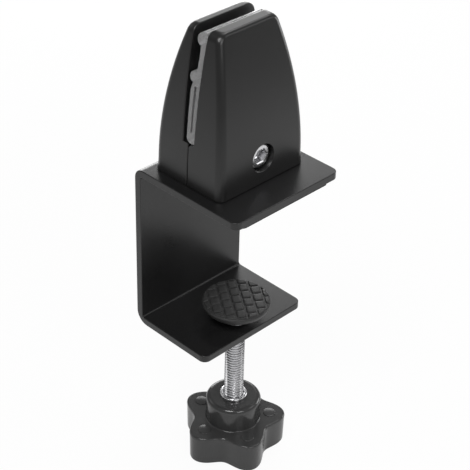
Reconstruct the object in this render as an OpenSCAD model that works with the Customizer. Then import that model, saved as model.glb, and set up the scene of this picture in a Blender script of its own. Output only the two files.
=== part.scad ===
// Desk-edge clamp for an upright screen panel: C-shaped steel bracket, split clamping block
// on top with a lined slot for the panel, and a hand-turned spindle with a swivel pad below.
// Millimetres, +Z up. Origin: on the spindle axis, in the plane that rests on the desk top.
// +X is the open side of the C (over the desk), +Y runs along the desk edge.

/* [Bracket] */
// Width of the steel strip along the desk edge
strip_w = 54.4; // [50:0.2:60]
// Thickness of the steel strip
steel_t = 3; // [3:0.5:4]
// Length of the top plate, from the back of the web
top_len = 53.5; // [50:0.5:60]
// Length of the bottom plate, from the back of the web
bottom_len = 38.8; // [37:0.1:44]
// Distance from the back of the web to the spindle axis
spindle_back = 28.4; // [28.4:0.2:32]
// Clear height between the desk face and the bottom plate
throat_h = 63.9; // [60:0.1:90]
// Outside radius of the upper bend
top_bend_r = 4.2; // [4:0.1:4.5]
// Outside radius of the lower bend
low_bend_r = 5.6; // [4:0.2:6]
// Inside radius of the lower bend
low_bend_in = 1; // [0.4:0.2:1]
// Plan radius of the free corners
corner_r = 3; // [1:0.5:5]
// Thickness of the soft pad under the top plate
desk_pad_t = 1.5; // [1:0.5:3]

/* [Clamping block] */
// Height of the block above the top plate
block_h = 60.4; // [58:0.2:70]
// Depth of the block at its base, across the slot
block_d = 34.6; // [34:0.2:36]
// Width of the block at its base, along the slot
block_w = 44; // [42:0.2:48]
// Radius that bows the front and rear faces inwards
bow_x_r = 180; // [175:5:260]
// Radius that bows the two ends inwards
bow_y_r = 250; // [240:10:400]
// Radius of the upright corners at the base
edge_r = 3.4; // [2.6:0.2:4]
// Slot width at its floor
slot_w = 5.6; // [5.4:0.2:7]
// How much wider the slot is at the top
slot_flare = 1.4; // [1:0.2:2]
// How far the slot leans back at the top
slot_lean = 1; // [0:0.2:1]
// Height of the slot floor above the top plate
slot_floor = 17.6; // [17.6:0.2:22]
// Height of the jaw screw above the top plate
screw_h = 10.7; // [10.5:0.1:11.5]

/* [Clamp screw] */
// Nominal diameter of the spindle thread
spindle_d = 8; // [8:1:8]
// Distance from the bottom plate down to the knob's top face
spindle_free = 37; // [34:0.1:60]
// Diameter of the swivel pad
pad_d = 27.4; // [24:0.2:30]
// Height of the pad's face above the bottom plate when fully lowered
pad_face_h = 9.2; // [9:0.1:10]

/* [Knob] */
// Mean radius of the lobed grip
grip_r = 19; // [17:0.5:22]
// Height of each lobe above the mean radius
lobe_h = 2.75; // [1.5:0.25:3]
// Turned angle of the first lobe from +X
lobe_angle = 50; // [0:1:71]
// Height of the grip
grip_h = 13.5; // [9:0.5:16]
// Height of the hub above the grip
hub_h = 11; // [8:0.2:12]
// Radius of the hub
hub_r = 11.4; // [10:0.2:12]

/* [Hidden] */
$fn = 64;

eps = 0.01;
back_x = -spindle_back;                    // back face of the web
top_under = desk_pad_t;                    // underside of the top plate
top_z = desk_pad_t + steel_t;              // top of the top plate
plate_z = -throat_h;                       // top of the bottom plate
under_z = plate_z - steel_t;               // underside of the bottom plate
block_x = -5.6;                            // split plane of the clamping block

foot_h = 6;                                // the block spreads a little where it stands
foot_out = 0.5;
top_round = 3;                             // upper corners, seen from the front
jaw_gap = 0.2;                             // between the two halves when closed
slide_gap = 0.15;                          // under the sliding front half
head_r = 5;                                // M6 socket cap screw
head_len = 6;
shank_r = 3;
head_recess = 1.4;                         // head below the block's face
head_clear = 0.4;                          // around the head in its counterbore
head_ease = 0.7;                           // chamfer on the head's edge
screw_len = 20;
key_af = 5;
nut_af = 10;
nut_len = 5;
nut_back = -6.5;
peg_r = 2;                                 // two locating pegs between the halves
peg_y = 13;
peg_z = 8;
fix_x = -9;                                // two countersunk screws into the rear half
fix_y = 12;
fix_r = 2;
fix_head_r = 4;
fix_len = 14;

rod_r = spindle_d / 2;
nut_clear = 0.08;
journal_r = 2.4;
nut_body_r = 6.4;
nut_below = 3.6;
rod_top = plate_z + 0.2;                   // shoulder under the thrust collar
seat_z = rod_top + 1;                      // top of the collar, centre of the pad's swivel
clip_z = seat_z + 1.7;                     // retaining ring in its groove
clip_t = 0.7;
groove_r = 1.9;
pad_top = plate_z + pad_face_h;
pad_r = pad_d / 2;
hub_top = under_z - spindle_free;
grip_top = hub_top - hub_h;
grip_bottom = grip_top - grip_h;
grip_draft = 0.3;                          // the grip narrows downwards

// ---------------------------------------------------------------- shared shapes

function arc_drop(r, d) = r - sqrt(r * r - d * d);
function top_inset(z, r) = z > block_h - r ? arc_drop(r, z - block_h + r) : 0;
function foot(z) = z < foot_h ? arc_drop(foot_h, foot_h - z) * foot_out / foot_h : 0;
function half_d(z) =
    block_d / 2 + foot(z) - arc_drop(bow_x_r, max(z - 3, 0)) - top_inset(z, 1.2);
function half_w(z) =
    block_w / 2 + foot(z) - arc_drop(bow_y_r, z) - top_inset(z, top_round);
function corner_at(z) = edge_r - z / block_h;

// one level of the block: a rectangle with rounded corners
function ring(z, inset, steps = 6) = [
    for (q = [0:3], k = [0:steps])
        let (a = 90 * q + 90 * k / steps,
             r = corner_at(z),
             sx = (q == 0 || q == 3) ? 1 : -1,
             sy = (q < 2) ? 1 : -1)
        [sx * (half_d(z) - inset - r) + r * cos(a),
         sy * (half_w(z) - inset - r) + r * sin(a),
         z]
];

// a closed skin over rings that all have the same number of points, each end a flat fan
module skin(rings) {
    n = len(rings[0]);
    m = len(rings);
    last = (m - 1) * n;
    ends = [[0, 0, rings[0][0][2]], [0, 0, rings[m - 1][0][2]]];
    points = concat([for (r = rings) for (p = r) p], ends);
    sides = [for (i = [0:m - 2], j = [0:n - 1])
        let (a = i * n + j, b = i * n + (j + 1) % n)
        each [[a, a + n, b], [b, a + n, b + n]]];
    floor_fan = [for (j = [0:n - 1]) [j, (j + 1) % n, m * n]];
    roof_fan = [for (j = [0:n - 1]) [last + (j + 1) % n, last + j, m * n + 1]];
    polyhedron(points, concat(sides, floor_fan, roof_fan));
}

block_levels = concat([0, 1.5, 3, 5], [for (z = [8:4:block_h - 6]) z],
                      [for (a = [0:15:90]) block_h - top_round * (1 - sin(a))]);

module block(inset = 0) {
    skin([for (z = block_levels) ring(z, inset)]);
}

// places children on the split plane, at the top plate's surface
module on_block() {
    translate([block_x, 0, top_z]) children();
}

// a profile drawn in X and Z, run along Y through the whole block
module along_y(w = strip_w + 10) {
    translate([0, w / 2, 0]) rotate([90, 0, 0]) linear_extrude(w) children();
}

module along_x(x0, x1, r, y = 0, z = 0) {
    translate([x0, y, z]) rotate([0, 90, 0]) cylinder(r = r, h = x1 - x0);
}

function up_slot(z) = (z - slot_floor) / (block_h - slot_floor);
function slot_half(z) = slot_w / 2 + slot_flare / 2 * up_slot(z);
function rear_wall(z) = -slot_half(z) - slot_lean * up_slot(z);
function front_wall(z) = slot_half(z) - slot_lean * up_slot(z);

module plate_outline(x0, x1, w, r) {
    translate([x0, -w / 2]) square([x1 - x0 - r, w]);
    translate([x0, -w / 2 + r]) square([x1 - x0, w - 2 * r]);
    for (s = [-1, 1]) translate([x1 - r, s * (w / 2 - r)]) circle(r);
}

// ---------------------------------------------------------------- bracket group

module upper_bend() {
    r = top_bend_r;
    translate([back_x + r, strip_w / 2, top_z - r]) rotate([90, 0, 0])
        linear_extrude(strip_w) intersection() {
            difference() {
                circle(r);
                circle(r - steel_t);
            }
            translate([-r, 0]) square(r);
        }
}

// sharper inside than outside, as pressed
module lower_bend() {
    r = low_bend_r;
    inner = r - steel_t - low_bend_in;
    translate([back_x + r, strip_w / 2, under_z + r]) rotate([90, 0, 0])
        linear_extrude(strip_w) difference() {
            intersection() {
                circle(r);
                translate([-r, -r]) square(r);
            }
            translate([-inner, -inner]) circle(low_bend_in);
            translate([-inner, -inner - low_bend_in]) square([r, r]);
            translate([-inner - low_bend_in, -inner]) square([r, r]);
        }
}

module bracket() {
    color([0.13, 0.13, 0.14]) difference() {
        union() {
            translate([0, 0, top_under]) linear_extrude(steel_t)
                plate_outline(back_x + top_bend_r, back_x + top_len, strip_w, corner_r);
            translate([0, 0, under_z]) linear_extrude(steel_t)
                plate_outline(back_x + low_bend_r, back_x + bottom_len, strip_w, corner_r);
            translate([back_x, -strip_w / 2, under_z + low_bend_r])
                cube([steel_t, strip_w, top_z - under_z - top_bend_r - low_bend_r]);
            upper_bend();
            lower_bend();
        }
        translate([0, 0, under_z - 1]) cylinder(r = 5.2, h = steel_t + 2);
        for (s = [-1, 1]) translate([block_x + fix_x, s * fix_y, top_under]) {
            translate([0, 0, -1]) cylinder(r = fix_r + 0.2, h = steel_t + 2);
            translate([0, 0, -eps])
                cylinder(r1 = fix_head_r + 0.1, r2 = fix_r + 0.1, h = fix_head_r - fix_r);
        }
    }
}

module desk_pad() {
    inset_y = 4.5;
    color([0.1, 0.1, 0.1]) linear_extrude(desk_pad_t - eps)
        intersection() {
            plate_outline(back_x + 4.6, back_x + top_len - 1, strip_w - 2 * inset_y, 2);
            mirror([1, 0]) plate_outline(-(back_x + top_len - 1), -(back_x + 4.6),
                                         strip_w - 2 * inset_y, 2);
        }
}

module base_screws() {
    color([0.7, 0.7, 0.72]) for (s = [-1, 1])
        translate([block_x + fix_x, s * fix_y, top_under + 0.05]) difference() {
            union() {
                cylinder(r1 = fix_head_r, r2 = fix_r, h = fix_head_r - fix_r);
                cylinder(r = fix_r, h = fix_len);
            }
            translate([0, 0, -1]) cylinder(r = 1.3, h = 2, $fn = 6);
        }
}

module clinch_nut() {
    color([0.75, 0.75, 0.77]) difference() {
        union() {
            translate([0, 0, under_z - nut_below]) cylinder(r = nut_body_r, h = nut_below);
            translate([0, 0, under_z]) cylinder(r = 5.2, h = steel_t - 0.1);
        }
        translate([0, 0, under_z - nut_below - 1])
            cylinder(r = rod_r + nut_clear, h = steel_t + nut_below + 2);
    }
}

// ---------------------------------------------------------------- clamping block

module rear_region() {
    along_y() polygon([
        [-block_d, 0], [-jaw_gap / 2, 0], [-jaw_gap / 2, slot_floor],
        [rear_wall(slot_floor), slot_floor], [rear_wall(block_h + 1), block_h + 1],
        [-block_d, block_h + 1]]);
}

module front_region() {
    ease = 1.3;
    along_y() polygon([
        [block_d, slide_gap], [jaw_gap / 2, slide_gap], [jaw_gap / 2, slot_floor - ease],
        [jaw_gap / 2 + ease, slot_floor], [front_wall(slot_floor), slot_floor],
        [front_wall(block_h + 1), block_h + 1], [block_d, block_h + 1]]);
}

module rear_jaw() {
    color([0.14, 0.14, 0.15]) on_block() difference() {
        union() {
            intersection() {
                block();
                rear_region();
            }
            for (s = [-1, 1]) along_x(-1, 5.5, peg_r, s * peg_y, peg_z);
        }
        along_x(-13.5, 1, shank_r + 0.3, 0, screw_h);
        translate([nut_back - 0.1, 0, screw_h]) rotate([0, 90, 0])
            cylinder(r = (nut_af / 2 + 0.1) / cos(30), h = 8, $fn = 6);
        for (s = [-1, 1]) translate([fix_x, s * fix_y, -1])
            cylinder(r = fix_r + 0.05, h = fix_len - steel_t + 2);
    }
}

module front_jaw() {
    seat_x = half_d(screw_h) - head_recess - head_len;
    color([0.14, 0.14, 0.15]) on_block() difference() {
        intersection() {
            block();
            front_region();
        }
        along_x(-1, block_d, shank_r + 0.3, 0, screw_h);
        along_x(seat_x, block_d, head_r + head_clear, 0, screw_h);
        for (s = [-1, 1]) along_x(-1, 6.5, peg_r + nut_clear, s * peg_y, peg_z);
    }
}

module jaw_nut() {
    color([0.75, 0.7, 0.5]) on_block()
        translate([nut_back, 0, screw_h]) rotate([0, 90, 0]) difference() {
            cylinder(r = nut_af / 2 / cos(30), h = nut_len, $fn = 6);
            translate([0, 0, -1]) cylinder(r = shank_r + nut_clear, h = nut_len + 2);
        }
}

module jaw_screw() {
    seat_x = half_d(screw_h) - head_recess - head_len;
    color([0.82, 0.82, 0.84]) on_block() translate([seat_x, 0, screw_h])
        rotate([0, 90, 0]) difference() {
            union() {
                translate([0, 0, 0.02]) cylinder(r = head_r, h = head_len - head_ease);
                translate([0, 0, head_len - head_ease])
                    cylinder(r1 = head_r, r2 = head_r - head_ease, h = head_ease);
                translate([0, 0, -screw_len + 0.8])
                    cylinder(r = shank_r, h = screw_len - 0.7);
                translate([0, 0, -screw_len]) cylinder(r1 = 2.2, r2 = shank_r, h = 0.8);
            }
            translate([0, 0, head_len - 3])
                cylinder(r = key_af / 2 / cos(30), h = 4, $fn = 6);
        }
}

// clear double-leaf cushion: tall leaf on the front jaw, short leaf beside it, a bead on each
module liner_profile() {
    tall = 2.3;                            // tall leaf above the short one
    leaf = 1.8;                            // both leaves where they lie side by side
    part = 0.4;                            // between them at the foot
    z_foot = slot_floor + 0.2;
    z_fork = 39;
    z_bead = 43;
    z_top = 56.8;
    wall_foot = front_wall(z_foot) - 0.02;
    wall_fork = front_wall(z_fork) - 0.02;
    wall_bead = front_wall(z_bead) - 0.02;
    wall_top = front_wall(z_top) - 0.02;
    polygon([[wall_foot - leaf, z_foot], [wall_foot, z_foot], [wall_fork, z_fork],
             [wall_top, z_top], [wall_top - tall, z_top], [wall_bead - tall, z_bead],
             [wall_fork - leaf, z_fork]]);
    polygon([[wall_foot - 2 * leaf - part, z_foot + 1], [wall_foot - leaf - part, z_foot],
             [wall_fork - leaf - 2 * part, z_fork], [wall_fork - leaf - part, z_bead],
             [wall_fork - 2 * leaf - 2 * part, z_bead]]);
    translate([wall_foot - leaf - 1.1, z_foot + 1.1]) circle(1.1);
    translate([wall_foot - leaf - 1.1, z_foot]) square([1.5, 1.4]);
    translate([wall_bead - 3.4, z_bead]) circle(2.1);
    translate([wall_top - 2.35, z_top]) circle(2.33);
}

module panel_liner() {
    color([0.85, 0.87, 0.88, 0.5]) on_block() intersection() {
        block(0.25);
        along_y() liner_profile();
    }
}

// ---------------------------------------------------------------- clamp screw

module thrust_collar() {
    dome_r = 20;
    bore_r = journal_r + 0.1;
    edge = 4.6;
    dome = [for (i = [0:6]) let (r = bore_r + (edge - bore_r) * i / 6)
            [r, seat_z - arc_drop(dome_r, r)]];
    color([0.7, 0.7, 0.72]) rotate_extrude()
        polygon(concat([[bore_r, rod_top + 0.02]], dome, [[edge, rod_top + 0.02]]));
}

module spindle() {
    end_z = grip_bottom + 3;
    color([0.8, 0.8, 0.82]) rotate_extrude() polygon([
        [0, end_z], [rod_r - 0.8, end_z], [rod_r, end_z + 0.8], [rod_r, rod_top],
        [journal_r, rod_top], [journal_r, clip_z - 0.02], [groove_r, clip_z - 0.02],
        [groove_r, clip_z + clip_t + 0.02], [journal_r, clip_z + clip_t + 0.02],
        [journal_r, clip_z + 1.1], [journal_r - 0.3, clip_z + 1.4], [0, clip_z + 1.4]]);
}

module retaining_ring() {
    color([0.55, 0.55, 0.58]) translate([0, 0, clip_z]) difference() {
        cylinder(r = 3.9, h = clip_t);
        translate([0, 0, -1]) cylinder(r = groove_r + 0.03, h = clip_t + 2);
        translate([0, -1.5, -1]) cube([5, 3, clip_t + 2]);
    }
}

module pad_socket() {
    floor_z = seat_z + 0.05;
    hub_z = pad_top - 3.2;
    color([0.6, 0.6, 0.62]) difference() {
        union() {
            translate([0, 0, floor_z]) cylinder(r1 = 6.2, r2 = 7, h = 1);
            translate([0, 0, floor_z + 1]) cylinder(r = 7, h = hub_z - floor_z - 0.9);
            translate([0, 0, hub_z + 0.1]) cylinder(r = pad_r - 1.6, h = 1.2);
        }
        translate([0, 0, floor_z - 1]) cylinder(r = 3.2, h = 3);
        translate([0, 0, floor_z + 1.2]) cylinder(r = 4.8, h = 5);
    }
}

module pad_rubber() {
    rim_z = pad_top - 3.2;
    side = [for (t = [0:0.2:1]) [pad_r - 0.9 * (1 - t) * (1 - t), rim_z + 3.2 * t]];
    color([0.16, 0.16, 0.16]) difference() {
        rotate_extrude() polygon(concat([[0, rim_z]], side, [[0, pad_top]]));
        translate([0, 0, rim_z - 1]) cylinder(r = pad_r - 1.5, h = 2.35);
        translate([0, 0, rim_z]) cylinder(r = 4.8, h = 1.9);
    }
}

// ---------------------------------------------------------------- knob

function grip_at(a) = grip_r + lobe_h * cos(5 * (a - lobe_angle));

function grip_ring(z, inset, steps = 100) = [
    for (k = [0:steps - 1])
        let (a = 360 * k / steps, r = grip_at(a) - inset)
        [r * cos(a), r * sin(a), z]
];

module grip() {
    round_r = 0.8;
    low = [for (a = [0:22.5:90]) [grip_bottom + round_r * (1 - sin(a)),
                                  round_r * (1 - cos(a))]];
    rise = [for (i = [4:-1:0]) low[i]];
    fall = [for (p = low) [grip_top + grip_bottom - p[0], p[1]]];
    skin([for (p = concat(rise, fall))
        grip_ring(p[0], p[1] + grip_draft * (grip_top - p[0]) / grip_h)]);
}

module hub() {
    lip = 2;
    rim = [for (a = [90:-15:0]) [hub_r - lip + lip * cos(a), hub_top - lip + lip * sin(a)]];
    rotate_extrude() polygon(concat([[0, grip_top - 2], [0, hub_top]], rim,
                                    [[hub_r, grip_top - 2]]));
}

module knob() {
    disc_at = 15.4;                        // a low round disc on each lobe
    color([0.08, 0.08, 0.08]) difference() {
        union() {
            grip();
            hub();
            for (i = [0:4]) rotate(lobe_angle + 72 * i) translate([disc_at, 0, grip_top - 1])
                cylinder(r = 2.7, h = 1.3);
        }
        translate([0, 0, grip_bottom - 1]) cylinder(r = 5.2, h = hub_top - grip_bottom + 2);
        translate([0, 0, grip_bottom - 1]) cylinder(r = 9, h = 2);
    }
}

module knob_insert() {
    color([0.82, 0.82, 0.84]) difference() {
        union() {
            translate([0, 0, grip_bottom + 1.2])
                cylinder(r = 5.2, h = hub_top - grip_bottom - 1.2);
            translate([0, 0, hub_top]) cylinder(r1 = 5.2, r2 = 5.6, h = 1.5);
        }
        translate([0, 0, grip_bottom]) cylinder(r = rod_r, h = hub_top - grip_bottom + 3);
    }
}

bracket();
desk_pad();
base_screws();
rear_jaw();
jaw_nut();
front_jaw();
panel_liner();
jaw_screw();
clinch_nut();
thrust_collar();
spindle();
retaining_ring();
pad_socket();
pad_rubber();
knob();
knob_insert();
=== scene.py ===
"""Looks of the desk-edge panel clamp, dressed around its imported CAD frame.

Lengths are in millimetres until a mesh is made. The frame is the CAD's: +X over the desk,
+Y along its edge, +Z up, origin on the spindle axis in the plane that rests on the desk top.
"""

import math

import bmesh
import bpy
from mathutils import Matrix, Vector


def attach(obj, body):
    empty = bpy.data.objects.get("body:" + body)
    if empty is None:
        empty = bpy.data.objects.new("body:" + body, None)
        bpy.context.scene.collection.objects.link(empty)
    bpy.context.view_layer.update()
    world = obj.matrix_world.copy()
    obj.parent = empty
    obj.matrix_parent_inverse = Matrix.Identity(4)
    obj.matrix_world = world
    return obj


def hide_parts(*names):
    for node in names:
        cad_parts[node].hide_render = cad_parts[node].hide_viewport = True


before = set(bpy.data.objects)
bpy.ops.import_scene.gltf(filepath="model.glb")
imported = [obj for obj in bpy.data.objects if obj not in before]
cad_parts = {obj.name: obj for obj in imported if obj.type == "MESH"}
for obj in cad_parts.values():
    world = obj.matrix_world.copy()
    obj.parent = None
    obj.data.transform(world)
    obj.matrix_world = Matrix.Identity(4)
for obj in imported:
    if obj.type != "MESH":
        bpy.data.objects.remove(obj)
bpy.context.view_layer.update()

MM = 0.001

# ------------------------------------------------------------------ sizes: the CAD's, and the detail's

STRIP_W, STEEL_T, STRIP_EDGE = 54.4, 3.0, 0.3
BACK_X, TOP_LEN, BOTTOM_LEN = -28.4, 53.5, 38.8
TOP_BEND_R, LOW_BEND_R, LOW_BEND_IN, CORNER_R = 4.2, 5.6, 1.0, 3.0
TOP_Z, UNDER_Z = 4.5, -66.9
PLATE_Z = UNDER_Z + STEEL_T
DESK_PAD_T, DESK_PAD_CORNER = 1.49, 2.0
DESK_PAD_SIDE, DESK_PAD_BACK, DESK_PAD_FRONT = 4.5, 4.6, 1.0

BLOCK_X, BLOCK_H, BLOCK_D, BLOCK_W = -5.6, 60.4, 34.6, 44.0
BOW_X_R, BOW_Y_R, EDGE_R, TOP_ROUND = 180.0, 250.0, 3.4, 3.0
FOOT_H, FOOT_OUT = 6.0, 0.5
SLOT_W, SLOT_FLARE, SLOT_LEAN, SLOT_FLOOR = 5.6, 1.4, 1.0, 17.6
SPLIT_GAP, SPLIT_EDGE, SLIDE_GAP = 0.1, 0.45, 0.15
PEG_Y, PEG_H, PEG_R, PEG_HOLE_R = 13.0, 8.0, 2.0, 2.08
SCREW_H, HEAD_R, HEAD_LEN, HEAD_RECESS, BORE_R = 10.7, 5.0, 6.0, 1.4, 5.4
SHANK_R, SHANK_ROOT_R, SHANK_LEN, SHANK_HOLE_R, SCREW_PITCH = 2.95, 2.52, 20.0, 3.3, 1.0
LINER_HALF, LINER_EDGE = 25.0, 0.25

ROD_TOP = PLATE_Z + 0.2
ROD_R, ROD_ROOT_R, ROD_PITCH = 4.0, 3.3, 1.25
JOURNAL_R, GROOVE_R = 2.4, 1.9
NUT_R, NUT_LOW, NUT_SPIGOT_R, NUT_BORE_R = 6.4, 3.6, 5.2, 4.08
PAD_TOP, PAD_R, PAD_SKIRT = -54.7, 13.7, 3.2
HUB_TOP, HUB_H, HUB_R = -103.9, 11.0, 11.4
GRIP_H, GRIP_DRAFT = 13.5, 0.3
GRIP_TOP = HUB_TOP - HUB_H
GRIP_BOTTOM = GRIP_TOP - GRIP_H
GRIP_R, LOBE_H, LOBE_ANGLE, LOBES = 19.0, 2.75, 50.0, 5
DISC_AT, DISC_R = 15.4, 2.7
INSERT_R, INSERT_BORE_R, FLANGE_R = 5.15, 4.02, 5.6
KNOB_BORE_R = INSERT_R + 0.03


# ------------------------------------------------------------------ mesh helpers

def make(name, verts, faces):
    """A mesh object from points in millimetres, with shared points joined and faces outwards."""
    mesh = bpy.data.meshes.new(name)
    mesh.from_pydata([tuple(c * MM for c in v) for v in verts], [], faces)
    bm = bmesh.new()
    bm.from_mesh(mesh)
    bmesh.ops.remove_doubles(bm, verts=bm.verts, dist=1e-7)
    bmesh.ops.dissolve_degenerate(bm, edges=bm.edges, dist=1e-8)
    bmesh.ops.recalc_face_normals(bm, faces=bm.faces)
    bm.to_mesh(mesh)
    bm.free()
    obj = bpy.data.objects.new(name, mesh)
    bpy.context.scene.collection.objects.link(obj)
    return obj


def loft(rings, closed=False, caps=True):
    """Faces over rings of equal length. closed joins the last ring to the first."""
    n, m = len(rings[0]), len(rings)
    verts = [p for ring in rings for p in ring]
    faces = []
    for i in range(m if closed else m - 1):
        a, b = i * n, (i + 1) % m * n
        faces += [(a + j, a + (j + 1) % n, b + (j + 1) % n, b + j) for j in range(n)]
    if caps and not closed:
        faces += [tuple(range(n)), tuple(range((m - 1) * n, m * n))]
    return verts, faces


def lathe(profile, segments=96, closed=False):
    """Turns (radius, height) points about Z. closed joins the profile's two ends."""
    rings = [
        [
            (r * math.cos(math.tau * k / segments), r * math.sin(math.tau * k / segments), z)
            for k in range(segments)
        ]
        for r, z in profile
    ]
    return loft(rings, closed, caps=False)


def arc(cx, cy, r, start, end, steps=6):
    """Points on an arc, angles in degrees."""
    turn = [math.radians(start + (end - start) * i / steps) for i in range(steps + 1)]
    return [(cx + r * math.cos(a), cy + r * math.sin(a)) for a in turn]


def helix(r_root, r_crest, pitch, z0, z1, base, crest, per_turn=40):
    """A closed right-hand thread ridge, base wide at its root and crest wide on top.

    It fades in and out over its end turns, and its foot is sunk in the core that it runs on.
    """
    sunk, fade_turns, least = 0.06, 0.4, 0.02
    turns = (z1 - z0) / pitch
    steps = int(turns * per_turn)
    rings = []
    for i in range(steps + 1):
        turn = i / per_turn
        fade = max(least, min(1.0, turn / fade_turns, (turns - turn) / fade_turns))
        a, z = math.tau * turn, z0 + pitch * turn
        top = r_root + (r_crest - r_root) * fade
        section = [(r_root - sunk, -base / 2), (top, -crest / 2), (top, crest / 2),
                   (r_root - sunk, base / 2)]
        rings.append([(r * math.cos(a), r * math.sin(a), z + dz * fade) for r, dz in section])
    return loft(rings)


def joined(*parts):
    """One set of points and faces from several."""
    verts, faces = [], []
    for v, f in parts:
        faces += [tuple(k + len(verts) for k in face) for face in f]
        verts += v
    return verts, faces


def turned(part, matrix):
    """Points and faces with the points moved by matrix."""
    return [tuple(matrix @ Vector(v)) for v in part[0]], part[1]


def carve(obj, tool, operation="DIFFERENCE"):
    """Cuts tool out of obj, or joins it on, and keeps the result as obj's mesh."""
    step = obj.modifiers.new("carve", "BOOLEAN")
    step.operation, step.solver, step.object = operation, "EXACT", tool
    view = bpy.context.evaluated_depsgraph_get()
    result = bpy.data.meshes.new_from_object(obj.evaluated_get(view))
    obj.modifiers.remove(step)
    obj.data = result
    bpy.data.objects.remove(tool)


def dress(obj, material, body, node, sharp=35):
    """Gives a piece smooth shading, a material, the body it rides on and the node it replaces.

    Edges sharper than that many degrees stay crisp.
    """
    mesh = obj.data
    mesh.materials.clear()
    mesh.materials.append(material)
    mesh.polygons.foreach_set("material_index", [0] * len(mesh.polygons))
    mesh.polygons.foreach_set("use_smooth", [True] * len(mesh.polygons))
    mesh.set_sharp_from_angle(angle=math.radians(sharp))
    soft = obj.modifiers.new("weighted_normals", "WEIGHTED_NORMAL")
    soft.keep_sharp = True
    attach(obj, body)
    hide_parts(node)


ALONG_X = Matrix.Rotation(math.radians(90), 4, "Y")


def tool_along_x(profile, y, z, segments):
    """A tool turned about a line along X at y and z, from (radius, x) points."""
    return make("tool", *turned(lathe(profile, segments), Matrix.Translation((0, y, z)) @ ALONG_X))


def rod_tool(r, x0, x1, y, z):
    """A cylinder along X."""
    return tool_along_x([(0, x0), (r, x0), (r, x1), (0, x1)], y, z, 64)


# ------------------------------------------------------------------ node helpers

class Nodes:
    """A short way to write a node tree."""

    def __init__(self, tree):
        self.tree = tree
        tree.nodes.clear()

    def add(self, kind, inputs=None, **settings):
        node = self.tree.nodes.new(kind)
        for key, value in settings.items():
            setattr(node, key, value)
        for key, value in (inputs or {}).items():
            self.set(node, key, value)
        return node

    def set(self, node, key, value):
        socket = node.inputs[key]
        if isinstance(value, bpy.types.NodeSocket):
            self.tree.links.new(value, socket)
        else:
            socket.default_value = value

    def noise(self, scale, detail=2.0, rough=0.5, at=None):
        inputs = {"Scale": scale, "Detail": detail, "Roughness": rough}
        if at is not None:
            inputs["Vector"] = at
        return self.add("ShaderNodeTexNoise", inputs).outputs["Fac"]

    def span(self, value, low, high, out_low, out_high):
        """Maps low..high to out_low..out_high, held at the ends."""
        return self.add("ShaderNodeMapRange", {
            "Value": value, "From Min": low, "From Max": high,
            "To Min": out_low, "To Max": out_high}).outputs["Result"]

    def math(self, operation, a, b):
        return self.add("ShaderNodeMath", {0: a, 1: b}, operation=operation).outputs[0]

    def mix(self, fac, a, b):
        """A mix of two colours. The numbers are the colour sockets of the Mix node."""
        return self.add("ShaderNodeMix", {0: fac, 6: a, 7: b}, data_type="RGBA").outputs[2]

    def bump(self, height, strength, distance, normal=None):
        inputs = {"Height": height, "Strength": strength, "Distance": distance}
        if normal is not None:
            inputs["Normal"] = normal
        return self.add("ShaderNodeBump", inputs).outputs["Normal"]


def grey(v, tint=0.0):
    """A grey colour. tint makes it slightly blue."""
    return (v, v, v * (1 + tint), 1)


def material(name, fill):
    """A material whose Principled shader is set by fill(nodes, shader, position)."""
    mat = bpy.data.materials.new(name)
    mat.use_nodes = True
    n = Nodes(mat.node_tree)
    shader = n.add("ShaderNodeBsdfPrincipled")
    place = n.add("ShaderNodeTexCoord").outputs["Object"]
    fill(n, shader, place)
    n.add("ShaderNodeOutputMaterial", {"Surface": shader.outputs[0]})
    return mat


def highlight_edges(n):
    """Mask for the painted edge highlight: 1 on outer edges, 0 elsewhere."""
    return n.span(n.add("ShaderNodeNewGeometry").outputs["Pointiness"], 0.52, 0.62, 0, 1)


def powder_coat(n, shader, place):
    peel = n.noise(1400, 3, 0.55, place)
    speck = n.noise(5200, 2, 0.6, place)
    cloud = n.noise(60, 3, 0.6, place)
    # Painted highlight: the outer edges are lightened to a paler grey, broken into patches by noise.
    edge_highlight = n.math("MULTIPLY", highlight_edges(n), n.span(n.noise(700, 4, 0.7, place), 0.4, 0.6, 0, 1))
    n.set(shader, "Base Color", n.mix(edge_highlight, n.mix(cloud, grey(0.009), grey(0.012, 0.04)),
                                      grey(0.03)))
    n.set(shader, "Roughness", n.math("ADD", n.span(cloud, 0.3, 0.7, 0.28, 0.33),
                                      n.span(speck, 0.3, 0.7, -0.02, 0.02)))
    n.set(shader, "Normal", n.bump(peel, 0.05, 0.0003, n.bump(speck, 0.03, 0.0001)))


def jaw_plastic(n, shader, place):
    grain = n.noise(3800, 2, 0.6, place)
    cloud = n.noise(45, 3, 0.6, place)
    n.set(shader, "Base Color", n.mix(cloud, grey(0.009), grey(0.012)))
    n.set(shader, "Roughness", n.math("ADD", n.span(cloud, 0.3, 0.7, 0.29, 0.33),
                                      n.span(grain, 0.3, 0.7, -0.02, 0.02)))
    n.set(shader, "Normal", n.bump(grain, 0.04, 0.0001))


def gloss_plastic(n, shader, place):
    sink = n.noise(90, 1, 0.4, place)
    dust = n.noise(2600, 3, 0.7, place)
    n.set(shader, "Base Color", n.mix(dust, grey(0.04), grey(0.048)))
    n.set(shader, "Roughness", n.span(dust, 0.35, 0.75, 0.13, 0.2))
    n.set(shader, "Normal", n.bump(sink, 0.15, 0.0006))


def rubber(base, rough, scale):
    def fill(n, shader, place):
        crumb = n.noise(scale, 3, 0.65, place)
        cloud = n.noise(140, 3, 0.6, place)
        n.set(shader, "Specular IOR Level", 0.35)
        n.set(shader, "Base Color", n.mix(cloud, grey(base * 0.75), grey(base * 1.3)))
        n.set(shader, "Roughness", n.span(crumb, 0.3, 0.7, rough - 0.06, rough + 0.06))
        n.set(shader, "Normal", n.bump(crumb, 0.3, 0.0002))
    return fill


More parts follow.
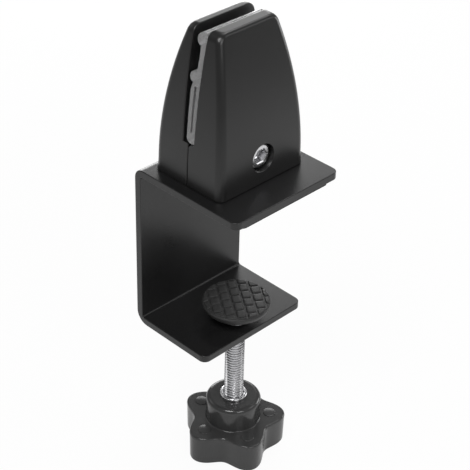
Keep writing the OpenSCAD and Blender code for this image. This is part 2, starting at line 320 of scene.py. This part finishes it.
def plated_steel(base, rough, tint=0.02):
    def fill(n, shader, place):
        scuff = n.noise(2400, 3, 0.6, place)
        cloud = n.noise(260, 2, 0.5, place)
        n.set(shader, "Metallic", 1.0)
        n.set(shader, "Base Color", n.mix(cloud, grey(base * 0.85, tint), grey(base * 1.05, tint)))
        n.set(shader, "Roughness", n.span(scuff, 0.3, 0.7, rough - 0.06, rough + 0.08))
        n.set(shader, "Normal", n.bump(scuff, 0.12, 0.0001))
    return fill


def clear_silicone(n, shader, place):
    haze = n.noise(420, 3, 0.6, place)
    n.set(shader, "Base Color", n.mix(haze, grey(0.58), grey(0.7, 0.01)))
    n.set(shader, "Roughness", n.span(haze, 0.3, 0.7, 0.1, 0.2))
    n.set(shader, "Normal", n.bump(haze, 0.1, 0.0003))
    n.set(shader, "Transmission Weight", 0.7)
    n.set(shader, "IOR", 1.41)


POWDER = material("powder_coat", powder_coat)
JAW = material("jaw_plastic", jaw_plastic)
KNOB = material("knob_plastic", gloss_plastic)
PAD = material("pad_rubber", rubber(0.03, 0.5, 2200))
DESK = material("desk_rubber", rubber(0.012, 0.75, 1600))
ZINC = material("zinc_steel", plated_steel(0.78, 0.2))
DULL = material("dull_steel", plated_steel(0.3, 0.4))
SPRING = material("spring_steel", plated_steel(0.2, 0.35, 0.06))
SILICONE = material("clear_silicone", clear_silicone)


# ------------------------------------------------------------------ bent strip and desk pad

def slab(path, half_w, thick, corner, edge):
    """A strip with rounded corners and eased edges, laid along path.

    path is (length, spot, stops): spot(u, t) gives x and z at u along the strip and t into it,
    and stops are the places along it that get a cross-section.
    """
    length, spot, stops = path
    quarter = [math.radians(a) for a in range(0, 91, 9)]

    def outline(inset):
        r = corner - inset
        near = [(corner - r * math.cos(a), half_w - corner + r * math.sin(a)) for a in quarter]
        far = [(length - u, w) for u, w in reversed(near)]
        return near + [(u, half_w - inset) for u in stops] + far

    bend = [math.radians(a) for a in range(0, 91, 15)]
    levels = [(edge * (1 - math.sin(a)), edge * (1 - math.cos(a))) for a in bend]
    levels += [(inset, thick - t) for inset, t in reversed(levels)]
    rings = []
    for inset, t in levels:
        side = outline(inset)
        both_sides = side + [(u, -w) for u, w in reversed(side)]
        spots = [(spot(u, t), w) for u, w in both_sides]
        rings.append([(x, w, z) for (x, z), w in spots])
    verts, faces = loft(rings, caps=False)
    n = len(rings[0])
    for start in (0, (len(rings) - 1) * n):
        faces += [(start + i, start + i + 1, start + n - 2 - i, start + n - 1 - i)
                  for i in range(n // 2 - 1)]
    return verts, faces


def strip_path():
    """The C of the bracket: from the free end of the top plate round to the bottom plate's."""
    legs = [TOP_LEN - TOP_BEND_R, TOP_BEND_R * math.pi / 2,
            TOP_Z - UNDER_Z - TOP_BEND_R - LOW_BEND_R, LOW_BEND_R * math.pi / 2,
            BOTTOM_LEN - LOW_BEND_R]
    ends = [sum(legs[:i]) for i in range(6)]

    def spot(u, t):
        if u <= ends[1]:
            return BACK_X + TOP_LEN - u, TOP_Z - t
        if u <= ends[2]:
            a, r = (u - ends[1]) / TOP_BEND_R, TOP_BEND_R - t
            return (BACK_X + TOP_BEND_R - r * math.sin(a), TOP_Z - TOP_BEND_R + r * math.cos(a))
        if u <= ends[3]:
            return BACK_X + t, TOP_Z - TOP_BEND_R - (u - ends[2])
        if u <= ends[4]:
            a = (u - ends[3]) / LOW_BEND_R
            r = LOW_BEND_R + (LOW_BEND_IN - LOW_BEND_R) * t / STEEL_T
            return (BACK_X + t + r - r * math.cos(a), UNDER_Z + t + r - r * math.sin(a))
        return BACK_X + LOW_BEND_R + u - ends[4], UNDER_Z + t

    marks = [CORNER_R, *ends[1:5], ends[5] - CORNER_R]
    stops = []
    for first, last, parts in zip(marks, marks[1:], (8, 10, 8, 10, 6)):
        stops += [first + (last - first) * k / parts for k in range(parts)]
    return ends[5], spot, stops[1:]


def desk_pad_path():
    """The flat sheet under the upper plate, from its free end back."""
    front = BACK_X + TOP_LEN - DESK_PAD_FRONT
    length = front - BACK_X - DESK_PAD_BACK
    return length, lambda u, t: (front - u, DESK_PAD_T - t), [10, 20, 30]


bracket = make("bracket_strip", *slab(strip_path(), STRIP_W / 2, STEEL_T, CORNER_R, STRIP_EDGE))
nut_hole = [(0, UNDER_Z - 1), (NUT_SPIGOT_R, UNDER_Z - 1), (NUT_SPIGOT_R, PLATE_Z - 0.4),
            (NUT_SPIGOT_R + 0.6, PLATE_Z + 0.2), (NUT_SPIGOT_R + 0.6, PLATE_Z + 1),
            (0, PLATE_Z + 1)]
carve(bracket, make("tool", *lathe(nut_hole)))
dress(bracket, POWDER, "frame", "bracket")

sheet = slab(desk_pad_path(), STRIP_W / 2 - DESK_PAD_SIDE, DESK_PAD_T, DESK_PAD_CORNER, STRIP_EDGE)
dress(make("desk_pad_sheet", *sheet), DESK, "frame", "desk_pad")


# ------------------------------------------------------------------ clamping block

def arc_drop(r, d):
    """How far a circle of radius r has fallen from its tangent at distance d along it."""
    return r - math.sqrt(max(r * r - d * d, 0))


def foot(z):
    """How far the block's foot flares out at height z above the upper plate."""
    return arc_drop(FOOT_H, FOOT_H - z) * FOOT_OUT / FOOT_H if z < FOOT_H else 0


def half_d(z):
    """Half depth of the block across the slot. It bows in above its lowest 3 mm."""
    return BLOCK_D / 2 + foot(z) - arc_drop(BOW_X_R, max(z - 3, 0))


def half_w(z):
    """Half width of the block along the slot."""
    return BLOCK_W / 2 + foot(z) - arc_drop(BOW_Y_R, z)


def round_over(z, r):
    """How far an edge of radius r at the block's top has gone in at height z."""
    return arc_drop(r, z - BLOCK_H + r) if z > BLOCK_H - r else 0


def slot_wall(z, side):
    """Distance from the split plane to the slot's front (1) or rear (-1) wall."""
    up = (z - SLOT_FLOOR) / (BLOCK_H - SLOT_FLOOR)
    return SLOT_W / 2 + (SLOT_FLARE / 2 - side * SLOT_LEAN) * up


def jaw(side, base):
    """One half of the block, from height base up. side is 1 for the front half, -1 for the rear."""
    under_r, face_top_r, slot_top_r = 0.4, 1.2, 0.7 if side > 0 else 0.35
    low = [base + 0.5 * (1 - math.cos(math.radians(a))) for a in range(0, 91, 30)]
    shaft = [1.2, 2, 3, 4, 5, 6] + [8 + 2 * k for k in range(24)]
    crown = [BLOCK_H - TOP_ROUND * (1 - math.sin(math.radians(a))) for a in range(0, 91, 6)]

    # The front half has a chamfer at the foot of the slot, and the rear half a small round.
    # Levels that come closer than 0.3 mm below it are left out.
    if side > 0:
        ease = [(SLOT_FLOOR - 1.3, SPLIT_GAP), (SLOT_FLOOR, SPLIT_GAP + 1.3)]
    else:
        ease = [(SLOT_FLOOR - 0.3, SPLIT_GAP), (SLOT_FLOOR - 0.09, SPLIT_GAP + 0.09),
                (SLOT_FLOOR, SPLIT_GAP + 0.3)]
    levels = [(z, SPLIT_GAP) for z in low + shaft if z < ease[0][0] - 0.3] + ease
    levels += [(z, slot_wall(z, side)) for z in [SLOT_FLOOR] + shaft + crown if z >= SLOT_FLOOR]
    levels.sort()

    rings = []
    for z, inner in levels:
        under = arc_drop(under_r, under_r - (z - base)) if z - base < under_r else 0
        outer = half_d(z) - round_over(z, face_top_r) - under
        wide = half_w(z) - round_over(z, TOP_ROUND) - under
        inner += round_over(z, slot_top_r)
        corner = EDGE_R - z / BLOCK_H
        deep = min(corner, outer - inner - SPLIT_EDGE - 0.1)
        ring = [(outer - deep + deep * x, wide - corner + corner * y)
                for x, y in arc(0, 0, 1, 0, 90, 10)]
        ring += arc(inner + SPLIT_EDGE, wide - SPLIT_EDGE, SPLIT_EDGE, 90, 180, 4)
        ring += [(x, -y) for x, y in reversed(ring)]
        rings.append([(BLOCK_X + side * x, y, TOP_Z + z) for x, y in ring])
    return make("jaw", *loft(rings))


HOLE_Z = TOP_Z + SCREW_H
FACE_X = BLOCK_X + half_d(SCREW_H)
SEAT_X = FACE_X - HEAD_RECESS - HEAD_LEN

rear = jaw(-1, 0.0)
front = jaw(1, SLIDE_GAP)
peg = [(0, BLOCK_X - 3), (PEG_R, BLOCK_X - 3), (PEG_R, BLOCK_X + 4.9),
       (PEG_R - 0.5, BLOCK_X + 5.5), (0, BLOCK_X + 5.5)]
for y in (-PEG_Y, PEG_Y):
    carve(rear, tool_along_x(peg, y, TOP_Z + PEG_H, 48), "UNION")
    carve(front, rod_tool(PEG_HOLE_R, BLOCK_X - 1, BLOCK_X + 6.5, y, TOP_Z + PEG_H))
carve(rear, rod_tool(SHANK_HOLE_R, BLOCK_X - 13.5, BLOCK_X + 1, 0, HOLE_Z))
carve(front, rod_tool(SHANK_HOLE_R, BLOCK_X - 1, SEAT_X + 1, 0, HOLE_Z))
bore = [(0, SEAT_X), (BORE_R, SEAT_X), (BORE_R, FACE_X - 0.35), (BORE_R + 0.05, FACE_X - 0.2),
        (BORE_R + 0.25, FACE_X + 0.05), (BORE_R + 1.3, FACE_X + 1), (0, FACE_X + 1)]
carve(front, tool_along_x(bore, 0, HOLE_Z, 96))
rear.name, front.name = "rear_jaw_moulding", "front_jaw_moulding"
dress(rear, JAW, "frame", "rear_jaw")
dress(front, JAW, "front_jaw_body", "front_jaw")


# ------------------------------------------------------------------ clear cushion in the slot

def run_along_y(outlines, name, half_length, edge):
    """Points and faces of a solid from closed outlines in X and Z, with soft edges."""
    curve = bpy.data.curves.new(name, "CURVE")
    curve.dimensions, curve.fill_mode = "2D", "BOTH"
    curve.extrude = (half_length - edge) * MM
    curve.bevel_depth, curve.bevel_resolution = edge * MM, 2
    curve.offset = -edge * MM
    for loop in outlines:
        spline = curve.splines.new("POLY")
        spline.points.add(len(loop) - 1)
        spline.use_cyclic_u = True
        for spot, (x, z) in zip(spline.points, loop):
            spot.co = (x * MM, z * MM, 0, 1)
    holder = bpy.data.objects.new(name, curve)
    bpy.context.scene.collection.objects.link(holder)
    view = bpy.context.evaluated_depsgraph_get()
    mesh = bpy.data.meshes.new_from_object(holder.evaluated_get(view))
    bpy.data.objects.remove(holder)
    verts = [(v.co.x / MM, -v.co.z / MM, v.co.y / MM) for v in mesh.vertices]
    faces = [tuple(p.vertices) for p in mesh.polygons]
    bpy.data.meshes.remove(mesh)
    return verts, faces


def cushion_outlines():
    """The cushion's section: a tall leaf on the front wall, a short one beside it, two beads.

    The second outline is the gap between the leaves.
    """
    tall, leaf, gap, heel_r = 2.3, 1.6, 0.85, 0.8
    z_foot, z_bead, z_top = SLOT_FLOOR + 0.2, 43.0, 56.8
    bead_r, bead_in, top_bead_r = 2.1, 3.4, 2.33

    def wall(z):
        return slot_wall(z, 1) - 0.02

    def lean(z):
        """How far the short leaf has spread from the tall one."""
        return 0.016 * (z - z_foot)

    outer = [(wall(z), z) for z in (z_foot + heel_r, 25, 32, 40, 48, 53, z_top)]
    outer += arc(wall(z_top) - top_bead_r - 0.02, z_top, top_bead_r, 0, 266, 24)
    outer += [(wall(z) - tall, z) for z in (51.0, 46.0)]
    outer += arc(wall(z_bead) - bead_in, z_bead, bead_r, 70, 262, 18)
    outer += [(wall(z) - 2 * leaf - gap - lean(z), z) for z in (38.0, 30.0, 22.0)]
    outer += arc(wall(z_foot) - leaf - gap / 2, z_foot + 2.05, leaf + gap / 2 + 0.02, 180, 270, 6)
    outer += arc(wall(z_foot) - heel_r, z_foot + heel_r, heel_r, 270, 350, 4)
    heights = (22.0, 28.0, 34.0, 39.6)
    inner = [(wall(z) - leaf, z) for z in heights]
    inner += [(wall(z) - leaf - gap - lean(z), z) for z in reversed(heights)]
    return [outer, inner]


def cushion():
    """The cushion, with its two ends drawn in to follow the block's side faces."""
    verts, faces = run_along_y(cushion_outlines(), "cushion", LINER_HALF, LINER_EDGE)
    placed = []
    for x, y, z in verts:
        end = half_w(z) - round_over(z, TOP_ROUND) - LINER_EDGE
        placed.append((BLOCK_X + x, math.copysign(end - (LINER_HALF - abs(y)), y), TOP_Z + z))
    return placed, faces


dress(make("panel_cushion", *cushion()), SILICONE, "front_jaw_body", "panel_liner")


# ------------------------------------------------------------------ screws, nut and insert

def hexagon(flat_r, a):
    """Radius of a hexagon with that inscribed radius, at angle a in degrees."""
    return flat_r / math.cos(math.radians((a + 30) % 60 - 30))


def cap_screw():
    """M6 socket cap screw along Z, its seat at 0 and its point below."""
    angles = [k * 360 / 96 for k in range(96)]
    thread_top, edge_r, key_r, key_depth = -13.0, 0.45, 2.5, 3.0

    def ring(radius, z, sides=False):
        """A round ring, or a hexagonal one of that inscribed radius."""
        spots = [(hexagon(radius, a) if sides else radius, math.radians(a)) for a in angles]
        return [(r * math.cos(a), r * math.sin(a), z) for r, a in spots]

    shank = [(0, -SHANK_LEN), (2.2, -SHANK_LEN), (SHANK_ROOT_R, 0.6 - SHANK_LEN),
             (SHANK_ROOT_R, thread_top), (SHANK_R, thread_top + 0.4), (SHANK_R, 0.02)]
    head = [(HEAD_R - 0.2, 0.02), (HEAD_R, 0.2), (HEAD_R, HEAD_LEN - 0.75)]
    head += [(HEAD_R - edge_r + r, h) for r, h in arc(0, HEAD_LEN - 0.75, edge_r, 0, 60, 4)]
    head += [(HEAD_R - 0.62, HEAD_LEN - 0.12), (HEAD_R - 0.95, HEAD_LEN)]
    rings = [ring(r, z) for r, z in shank + head]
    rings += [ring(key_r + 0.35, HEAD_LEN, True), ring(key_r, HEAD_LEN - 0.35, True),
              ring(key_r, HEAD_LEN - key_depth, True)]
    rings += [ring(2.0, HEAD_LEN - key_depth - 0.15), ring(0.0, HEAD_LEN - key_depth - 0.9)]
    thread = helix(SHANK_ROOT_R, SHANK_R, SCREW_PITCH, 0.8 - SHANK_LEN, thread_top + 0.2,
                   0.85, 0.12)
    return joined(loft(rings, caps=False), thread)


screw = turned(cap_screw(), Matrix.Translation((SEAT_X, 0, HOLE_Z)) @ ALONG_X)
dress(make("jaw_cap_screw", *screw), ZINC, "jaw_screw_body", "jaw_screw")

nut_low = UNDER_Z - NUT_LOW
nut = [(NUT_BORE_R, nut_low + 0.5), (4.5, nut_low), (NUT_R - 0.5, nut_low),
       (NUT_R, nut_low + 0.5), (NUT_R, UNDER_Z - 0.3), (NUT_R - 0.2, UNDER_Z),
       (NUT_SPIGOT_R, UNDER_Z), (NUT_SPIGOT_R, PLATE_Z - 0.3),
       (NUT_SPIGOT_R - 0.2, PLATE_Z - 0.1), (4.6, PLATE_Z - 0.1), (NUT_BORE_R, PLATE_Z - 0.6)]
dress(make("clinch_nut_turned", *lathe(nut, closed=True)), ZINC, "frame", "clinch_nut")

insert = [(INSERT_BORE_R, GRIP_BOTTOM + 1.2), (INSERT_R - 0.25, GRIP_BOTTOM + 1.2),
          (INSERT_R, GRIP_BOTTOM + 1.5), (INSERT_R, HUB_TOP), (INSERT_R + 0.3, HUB_TOP),
          (FLANGE_R, HUB_TOP + 0.2), (FLANGE_R, HUB_TOP + 0.7),
          *arc(FLANGE_R - 0.5, HUB_TOP + 0.9, 0.5, 0, 90, 5),
          (4.75, HUB_TOP + 1.5), (4.4, HUB_TOP + 1.38), (4.15, HUB_TOP + 1.1),
          (INSERT_BORE_R, HUB_TOP)]
dress(make("knob_insert_turned", *lathe(insert, closed=True)), ZINC, "spindle_body",
      "knob_insert")


def spindle():
    """The M8 rod: a core with a journal and a ring's groove on top, and the thread round it."""
    clip = ROD_TOP + 2.7
    low = GRIP_BOTTOM + 3
    core = [(0, low), (ROD_R - 0.8, low), (ROD_R, low + 0.8), (ROD_R, HUB_TOP - 2),
            (ROD_ROOT_R, HUB_TOP - 1), (ROD_ROOT_R, ROD_TOP - 0.2), (ROD_ROOT_R - 0.1, ROD_TOP),
            (JOURNAL_R, ROD_TOP), (JOURNAL_R, clip - 0.02), (GROOVE_R, clip - 0.02),
            (GROOVE_R, clip + 0.72), (JOURNAL_R, clip + 0.72), (JOURNAL_R, clip + 1.1),
            (JOURNAL_R - 0.3, clip + 1.4), (0, clip + 1.4)]
    thread = helix(ROD_ROOT_R, ROD_R - 0.02, ROD_PITCH, HUB_TOP - 1.2, ROD_TOP - 0.5, 1.16, 0.18)
    return joined(lathe(core, 64), thread)


dress(make("spindle_rod", *spindle()), ZINC, "spindle_body", "spindle", sharp=25)


# ------------------------------------------------------------------ swivel pad

def clip_polygon(points, radius, sides=120):
    """The part of a convex polygon that lies inside a circle about the origin."""
    for k in range(sides):
        a = math.tau * (k + 0.5) / sides
        nx, ny = math.cos(a), math.sin(a)
        kept = []
        for i, p in enumerate(points):
            q = points[i - 1]
            dp, dq = p[0] * nx + p[1] * ny - radius, q[0] * nx + q[1] * ny - radius
            if dp * dq < 0:
                f = dq / (dq - dp)
                kept.append((q[0] + (p[0] - q[0]) * f, q[1] + (p[1] - q[1]) * f))
            if dp <= 0:
                kept.append(p)
        points = kept
        if len(points) < 3:
            return []
    return points


def shrink(points, by):
    """A convex polygon pulled in towards its middle."""
    mx, my = sum(p[0] for p in points) / len(points), sum(p[1] for p in points) / len(points)
    size = max(math.hypot(p[0] - mx, p[1] - my) for p in points)
    f = 1 - by / max(size, by * 2)
    return [(mx + (x - mx) * f, my + (y - my) * f) for x, y in points]


def rounded_tile(cx, cy, width, height, r=0.75):
    """The outline of a rectangle with round corners about a middle point."""
    outline = []
    for q, (sx, sy) in enumerate(((1, 1), (-1, 1), (-1, -1), (1, -1))):
        outline += arc(cx + sx * (width / 2 - r), cy + sy * (height / 2 - r), r,
                       90 * q, 90 * q + 90, 4)
    return outline


def pad_face():
    """Raised rounded tiles in running bond, on a round rubber body with a rolled rim."""
    step, row, groove, lift, turn = 4.9, 4.33, 0.7, 0.45, math.radians(-34)
    pillow = ((0, 1), (0, 0.35), (0.1, 0.18), (0.3, 0.07), (0.8, 0.01), (1.4, 0))
    low, rim_r, seat_r, hub_r = PAD_TOP - PAD_SKIRT, 0.75, PAD_R - 1.5, 4.8
    skirt = [(PAD_R - 0.9 * (1 - t / 5) ** 2, low + PAD_SKIRT * t / 5) for t in range(4)]
    body = [(0, low + 1.9), (hub_r, low + 1.9), (hub_r, low + 1.35), (seat_r, low + 1.35),
            (seat_r, low), *skirt, *arc(PAD_R - rim_r, PAD_TOP - lift - rim_r, rim_r, 0, 90, 8),
            (0, PAD_TOP - lift)]
    parts = [lathe(body, 128)]
    for j in range(-4, 5):
        for i in range(-4, 5):
            tile = rounded_tile(step * (i + 0.5 * (j % 2)), row * j, step - groove, row - groove)
            tile = [(x * math.cos(turn) - y * math.sin(turn),
                     x * math.sin(turn) + y * math.cos(turn)) for x, y in tile]
            tile = clip_polygon(tile, PAD_R - 0.6)
            if tile:
                parts.append(loft([[(x, y, PAD_TOP - down) for x, y in shrink(tile, by)]
                                   for by, down in pillow]))
    return joined(*parts)


dress(make("pad_face_rubber", *pad_face()), PAD, "swivel_pad", "pad_rubber", sharp=40)


# ------------------------------------------------------------------ star knob

def knob():
    """Lobed grip with a round hub, as rings from the bore out and back to the bore."""
    angles = [math.tau * k / 240 for k in range(240)]
    edge_r, fillet_r, lip_r, recess_r, recess_h = 0.8, 0.5, 2, 9, 1

    def circle(r, z):
        return [(r * math.cos(a), r * math.sin(a), z) for a in angles]

    def star(inset, z):
        """The grip's outline at height z, drawn in by inset and by the mould's draft."""
        inset += GRIP_DRAFT * (GRIP_TOP - z) / GRIP_H
        turn = math.radians(LOBE_ANGLE)
        spots = [(GRIP_R + LOBE_H * math.cos(LOBES * (a - turn)) - inset, a) for a in angles]
        return [(r * math.cos(a), r * math.sin(a), z) for r, a in spots]

    underside = [(KNOB_BORE_R, recess_h), (recess_r - 0.2, recess_h), (recess_r, recess_h - 0.2),
                 (recess_r, 0.2), (recess_r + 0.2, 0)]
    bend = [math.radians(a) for a in range(0, 91, 15)]
    edge = [(edge_r - edge_r * math.sin(a), edge_r - edge_r * math.cos(a)) for a in bend]
    parting_line = [(0.0, 1.1), (-0.06, 1.02), (-0.06, 0.96), (0.0, 0.88)]
    fillet = arc(HUB_R + fillet_r, GRIP_TOP + fillet_r, fillet_r, 270, 180, 5)
    lip = arc(HUB_R - lip_r, HUB_TOP - lip_r, lip_r, 0, 90, 12)

    rings = [circle(r, GRIP_BOTTOM + up) for r, up in underside]
    rings += [star(inset, GRIP_BOTTOM + up) for inset, up in edge]
    rings += [star(inset, GRIP_TOP - down) for inset, down in parting_line + edge[::-1]]
    rings += [circle(r, z) for r, z in fillet + lip]
    rings += [circle(r, HUB_TOP) for r in (9, KNOB_BORE_R)]
    return loft(rings, closed=True)


star_knob = make("star_knob", *knob())
disc = [(0, GRIP_TOP - 1), (DISC_R, GRIP_TOP - 1), (DISC_R, GRIP_TOP + 0.02),
        *arc(DISC_R - 0.28, GRIP_TOP + 0.02, 0.28, 20, 90, 4), (0, GRIP_TOP + 0.3)]
for k in range(LOBES):
    a = math.radians(LOBE_ANGLE + 360 / LOBES * k)
    spot = Matrix.Translation((DISC_AT * math.cos(a), DISC_AT * math.sin(a), 0))
    carve(star_knob, make("tool", *turned(lathe(disc, 48), spot)), "UNION")
dress(star_knob, KNOB, "spindle_body", "knob")


# ------------------------------------------------------------------ CAD nodes that stay

for name, finish in (("base_screws", ZINC), ("jaw_nut", ZINC), ("thrust_collar", ZINC),
                     ("retaining_ring", SPRING), ("pad_socket", DULL)):
    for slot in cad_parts[name].material_slots:
        slot.material = finish


# ------------------------------------------------------------------ floor, light and camera

def background(n, lit, seen, mirrored):
    """The shader lit, blended with plain white where it is the background of the picture.

    seen is the share of white to the camera and through the cushion, and mirrored is the
    share in a surface that mirrors it.
    """
    rays = n.add("ShaderNodeLightPath").outputs
    direct = n.math("MAXIMUM", rays["Is Camera Ray"], rays["Is Transmission Ray"])
    share = n.math("MAXIMUM", n.math("MULTIPLY", direct, seen),
                   n.math("MULTIPLY", rays["Is Glossy Ray"], mirrored))
    glow = n.add("ShaderNodeEmission", {"Color": grey(1.0), "Strength": 1.0})
    both = n.add("ShaderNodeMixShader", {0: share, 1: lit.outputs[0], 2: glow.outputs[0]})
    return both.outputs[0]


def floor_material():
    mat = bpy.data.materials.new("studio_floor")
    mat.use_nodes = True
    n = Nodes(mat.node_tree)
    pale = n.add("ShaderNodeBsdfDiffuse", {"Color": grey(0.9)})
    n.add("ShaderNodeOutputMaterial", {"Surface": background(n, pale, seen=0.94, mirrored=0.3)})
    return mat


def studio_world():
    world = bpy.data.worlds.new("studio")
    world.use_nodes = True
    n = Nodes(world.node_tree)
    dim = n.add("ShaderNodeBackground", {"Color": grey(1.0), "Strength": 0.2})
    n.add("ShaderNodeOutputWorld", {"Surface": background(n, dim, seen=1.0, mirrored=0.04)})
    return world


LAMP_W, LAMP_H, LAMP_DISTANCE, LAMP_AIM = 280, 240, 700, (0, 0, -30)


def softbox(name, azimuth, elevation, power):
    """An area lamp that looks at the object. Azimuth runs from +X towards +Y."""
    lamp = bpy.data.lights.new(name, "AREA")
    lamp.shape, lamp.energy = "RECTANGLE", power
    lamp.size, lamp.size_y = LAMP_W * MM, LAMP_H * MM
    a, e = math.radians(azimuth), math.radians(elevation)
    way = Vector((math.cos(a) * math.cos(e), math.sin(a) * math.cos(e), math.sin(e)))
    obj = bpy.data.objects.new(name, lamp)
    obj.location = (Vector(LAMP_AIM) + way * LAMP_DISTANCE) * MM
    obj.rotation_mode = "QUATERNION"
    obj.rotation_quaternion = way.to_track_quat("Z", "Y")
    bpy.context.scene.collection.objects.link(obj)


def make_camera(eye, azimuth, elevation, roll, focal_length):
    """A camera at eye, with its angles in degrees. Azimuth runs from -Y towards +X."""
    az, el, tilt = (math.radians(v) for v in (azimuth, elevation, roll))
    back = Vector((math.sin(az) * math.cos(el), -math.cos(az) * math.cos(el), math.sin(el)))
    level = Vector((math.cos(az), math.sin(az), 0))
    upright = back.cross(level)
    right = math.cos(tilt) * level + math.sin(tilt) * upright
    up = math.cos(tilt) * upright - math.sin(tilt) * level
    lens = bpy.data.cameras.new("camera")
    lens.lens, lens.sensor_width = focal_length, 36
    lens.clip_start, lens.clip_end = 0.01, 50
    camera = bpy.data.objects.new("camera", lens)
    bpy.context.scene.collection.objects.link(camera)
    turn = Matrix((right, up, back)).transposed().to_4x4()
    camera.matrix_world = Matrix.Translation(Vector(eye) * MM) @ turn
    return camera


FLOOR_HALF, FLOOR_Z = 4000.0, GRIP_BOTTOM - 0.05
floor = make("floor", [(x * FLOOR_HALF, y * FLOOR_HALF, FLOOR_Z)
                       for x, y in ((-1, -1), (1, -1), (1, 1), (-1, 1))], [(0, 1, 2, 3)])
floor.data.materials.append(floor_material())

softbox("back_high", 112, 58, 0.84)
softbox("front_high", 292, 58, 2.2)
softbox("back_left", 134, 21, 0.66)
softbox("back_left_low", 144, 8, 1.1)
softbox("back_right_low", 72, 8, 1.0)
softbox("back_right", 44, 34, 0.32)
softbox("right", 344, 34, 0.95)
softbox("left", 194, 34, 0.2)

scene = bpy.context.scene
scene.world = studio_world()
scene.camera = make_camera(eye=(307.853, -318.015, 274.985), azimuth=44.234, elevation=34.077,
                           roll=1.655, focal_length=106.88)
scene.view_settings.view_transform = "Standard"
